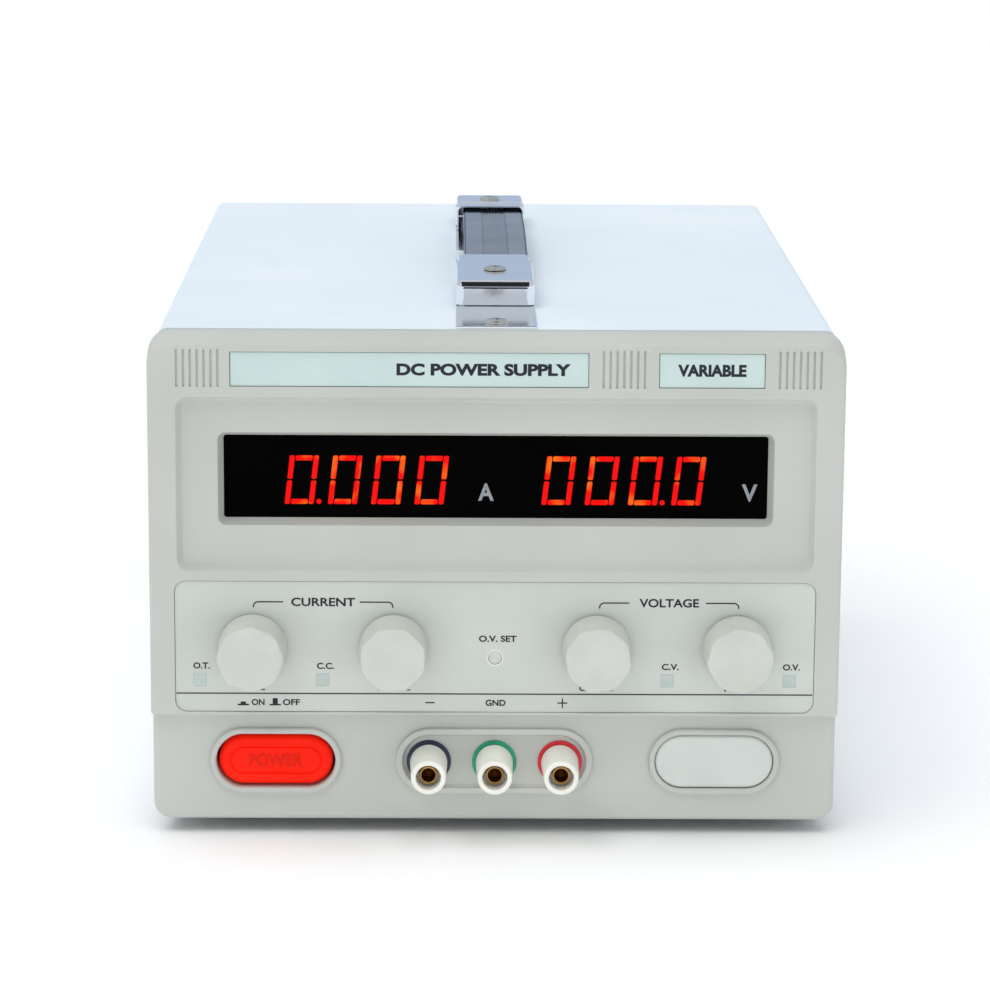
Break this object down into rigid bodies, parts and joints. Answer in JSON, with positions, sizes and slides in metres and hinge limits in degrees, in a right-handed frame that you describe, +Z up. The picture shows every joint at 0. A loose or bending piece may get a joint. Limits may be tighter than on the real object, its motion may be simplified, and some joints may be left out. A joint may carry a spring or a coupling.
{
  "type": "bench power supply",
  "caption": "Bench DC power supply: moulded front with two-part display, control knobs, binding posts and power button, sheet metal case, strap handle, fan and mains inlet.",
  "frame": {"origin": "floor level under the middle of the whole box, knobs and fuse drawer included", "axes": "+Z up, -Y out of the front panel towards the user, +X to the user's right, +Y to the rear panel"},
  "size_m": [0.265, 0.3944, 0.2107],
  "materials": {
    "moulded_case": "light grey-cream moulded ABS, fine spark texture",
    "smoked_window": "smoked acrylic, polished",
    "name_strip": "pale green-grey strip, satin",
    "overlay": "screen-printed polycarbonate overlay",
    "light_pipe": "clear moulded light pipe",
    "circuit_board": "green solder mask",
    "display_digit": "black display body with red segments",
    "knob_plastic": "cream moulded knob, satin",
    "shaft_metal": "machined",
    "pot_metal": "zinc plated",
    "trimmer_white": "white nylon",
    "trimmer_blue": "blue moulded",
    "red_button": "red moulded acrylic",
    "black_plastic": "black moulded",
    "post_black": "navy-black moulded",
    "post_green": "green moulded",
    "post_red": "red moulded",
    "post_cream": "cream moulded",
    "post_brass": "turned brass",
    "cover_paint": "smooth off-white paint on steel sheet",
    "chassis_zinc": "zinc plated steel sheet",
    "screw_steel": "plated steel",
    "foot_rubber": "moulded rubber",
    "bracket_chrome": "chrome plated pressing",
    "strap_grey": "ribbed grey PVC over a spring steel strip",
    "fan_plastic": "black glass-filled plastic",
    "guard_steel": "nickel plated wire",
    "pin_brass": "nickel plated brass",
    "fuse_glass": "glass tube",
    "core_steel": "varnished steel laminations",
    "winding_tape": "yellow polyester tape over copper",
    "heatsink_aluminium": "extruded, plain",
    "capacitor_sleeve": "dark PVC sleeve"
  },
  "bodies": {
    "case": {"front_bezel": "moulded_case", "display_window": "smoked_window", "left_name_strip": "name_strip", "right_name_strip": "name_strip", "control_overlay": "overlay", "indicator_windows": "light_pipe", "control_board": "circuit_board", "display_board": "circuit_board", "digit_modules": "display_digit", "potentiometers": "pot_metal", "potentiometer_nuts": "pot_metal", "trimmer_body": "trimmer_blue", "oval_rings": "moulded_case", "power_switch": "black_plastic", "blank_plug": "moulded_case", "terminal_surround": "moulded_case", "post_studs": "post_brass", "post_nuts": "post_brass", "top_cover": "cover_paint", "bottom_chassis": "chassis_zinc", "rear_panel": "cover_paint", "case_screws": "screw_steel", "feet": "foot_rubber", "foot_screws": "screw_steel", "front_handle_bracket": "bracket_chrome", "rear_handle_bracket": "bracket_chrome", "handle_screws": "screw_steel", "fan_frame": "fan_plastic", "fan_guard": "guard_steel", "mains_inlet": "black_plastic", "inlet_pins": "pin_brass", "main_board": "circuit_board", "transformer_core": "core_steel", "transformer_winding": "winding_tape", "heatsinks": "heatsink_aluminium", "capacitors": "capacitor_sleeve", "negative_post_ring": "post_black", "ground_post_ring": "post_green", "positive_post_ring": "post_red"},
    "power_button": {"power_button": "red_button"},
    "trimmer_screw": {"trimmer_screw": "trimmer_white"},
    "fan_rotor": {"fan_rotor": "fan_plastic"},
    "fuse_drawer": {"fuse_drawer": "black_plastic", "fuse": "fuse_glass"},
    "front_strap_half": {"front_strap_half": "strap_grey"},
    "rear_strap_half": {"rear_strap_half": "strap_grey"},
    "current_fine_knob": {"current_fine_knob": "knob_plastic", "current_fine_shaft": "shaft_metal"},
    "current_coarse_knob": {"current_coarse_knob": "knob_plastic", "current_coarse_shaft": "shaft_metal"},
    "voltage_coarse_knob": {"voltage_coarse_knob": "knob_plastic", "voltage_coarse_shaft": "shaft_metal"},
    "voltage_fine_knob": {"voltage_fine_knob": "knob_plastic", "voltage_fine_shaft": "shaft_metal"},
    "negative_post_washer": {"negative_post_washer": "post_brass"},
    "negative_post_cap": {"negative_post_cap": "post_cream"},
    "ground_post_washer": {"ground_post_washer": "post_brass"},
    "ground_post_cap": {"ground_post_cap": "post_cream"},
    "positive_post_washer": {"positive_post_washer": "post_brass"},
    "positive_post_cap": {"positive_post_cap": "post_cream"}
  },
  "joints": [
    {"name": "power_button_press", "type": "slide", "parent": "case", "child": "power_button", "axis": [0, -1, 0], "range_m": [-0.0008, 0.0035]},
    {"name": "current_fine_turn", "type": "hinge", "parent": "case", "child": "current_fine_knob", "pos_m": [-0.093, -0.1772, 0.0754], "axis": [0, 1, 0], "range_deg": [0, 300]},
    {"name": "current_coarse_turn", "type": "hinge", "parent": "case", "child": "current_coarse_knob", "pos_m": [-0.039, -0.1772, 0.0754], "axis": [0, 1, 0], "range_deg": [0, 300]},
    {"name": "voltage_coarse_turn", "type": "hinge", "parent": "case", "child": "voltage_coarse_knob", "pos_m": [0.039, -0.1772, 0.0754], "axis": [0, 1, 0], "range_deg": [0, 300]},
    {"name": "voltage_fine_turn", "type": "hinge", "parent": "case", "child": "voltage_fine_knob", "pos_m": [0.093, -0.1772, 0.0754], "axis": [0, 1, 0], "range_deg": [0, 300]},
    {"name": "trimmer_turn", "type": "hinge", "parent": "case", "child": "trimmer_screw", "pos_m": [0, -0.1722, 0.0714], "axis": [0, 1, 0], "range_deg": [0, 270]},
    {"name": "negative_clamp_travel", "type": "slide", "parent": "case", "child": "negative_post_washer", "axis": [0, -1, 0], "range_m": [0, 0.006]},
    {"name": "negative_cap_turn", "type": "hinge", "parent": "negative_post_washer", "child": "negative_post_cap", "pos_m": [-0.0254, -0.1852, 0.029], "axis": [0, -1, 0], "range_deg": [0, 2160.01]},
    {"name": "ground_clamp_travel", "type": "slide", "parent": "case", "child": "ground_post_washer", "axis": [0, -1, 0], "range_m": [0, 0.006]},
    {"name": "ground_cap_turn", "type": "hinge", "parent": "ground_post_washer", "child": "ground_post_cap", "pos_m": [0, -0.1852, 0.029], "axis": [0, -1, 0], "range_deg": [0, 2160.01]},
    {"name": "positive_clamp_travel", "type": "slide", "parent": "case", "child": "positive_post_washer", "axis": [0, -1, 0], "range_m": [0, 0.006]},
    {"name": "positive_cap_turn", "type": "hinge", "parent": "positive_post_washer", "child": "positive_post_cap", "pos_m": [0.0254, -0.1852, 0.029], "axis": [0, -1, 0], "range_deg": [0, 2160.01]},
    {"name": "strap_lift", "type": "hinge", "parent": "case", "child": "front_strap_half", "pos_m": [0.001, -0.0552, 0.2045], "axis": [1, 0, 0], "range_deg": [0, 11]},
    {"name": "strap_bend", "type": "hinge", "parent": "front_strap_half", "child": "rear_strap_half", "pos_m": [0.001, 0.0228, 0.2081], "axis": [1, 0, 0], "range_deg": [-22, 0]},
    {"name": "fan_spin", "type": "hinge", "parent": "case", "child": "fan_rotor", "pos_m": [0.062, 0.1778, 0.1235], "axis": [0, 1, 0], "continuous": true},
    {"name": "fuse_drawer_pull", "type": "slide", "parent": "case", "child": "fuse_drawer", "axis": [0, 1, 0], "range_m": [0, 0.022]}
  ],
  "couplings": [
    {"joint": "negative_cap_turn", "follows": "negative_clamp_travel", "rad_per_m": 6283.2},
    {"joint": "ground_cap_turn", "follows": "ground_clamp_travel", "rad_per_m": 6283.2},
    {"joint": "positive_cap_turn", "follows": "positive_clamp_travel", "rad_per_m": 6283.2},
    {"joint": "strap_bend", "follows": "strap_lift", "ratio": -2}
  ]
}
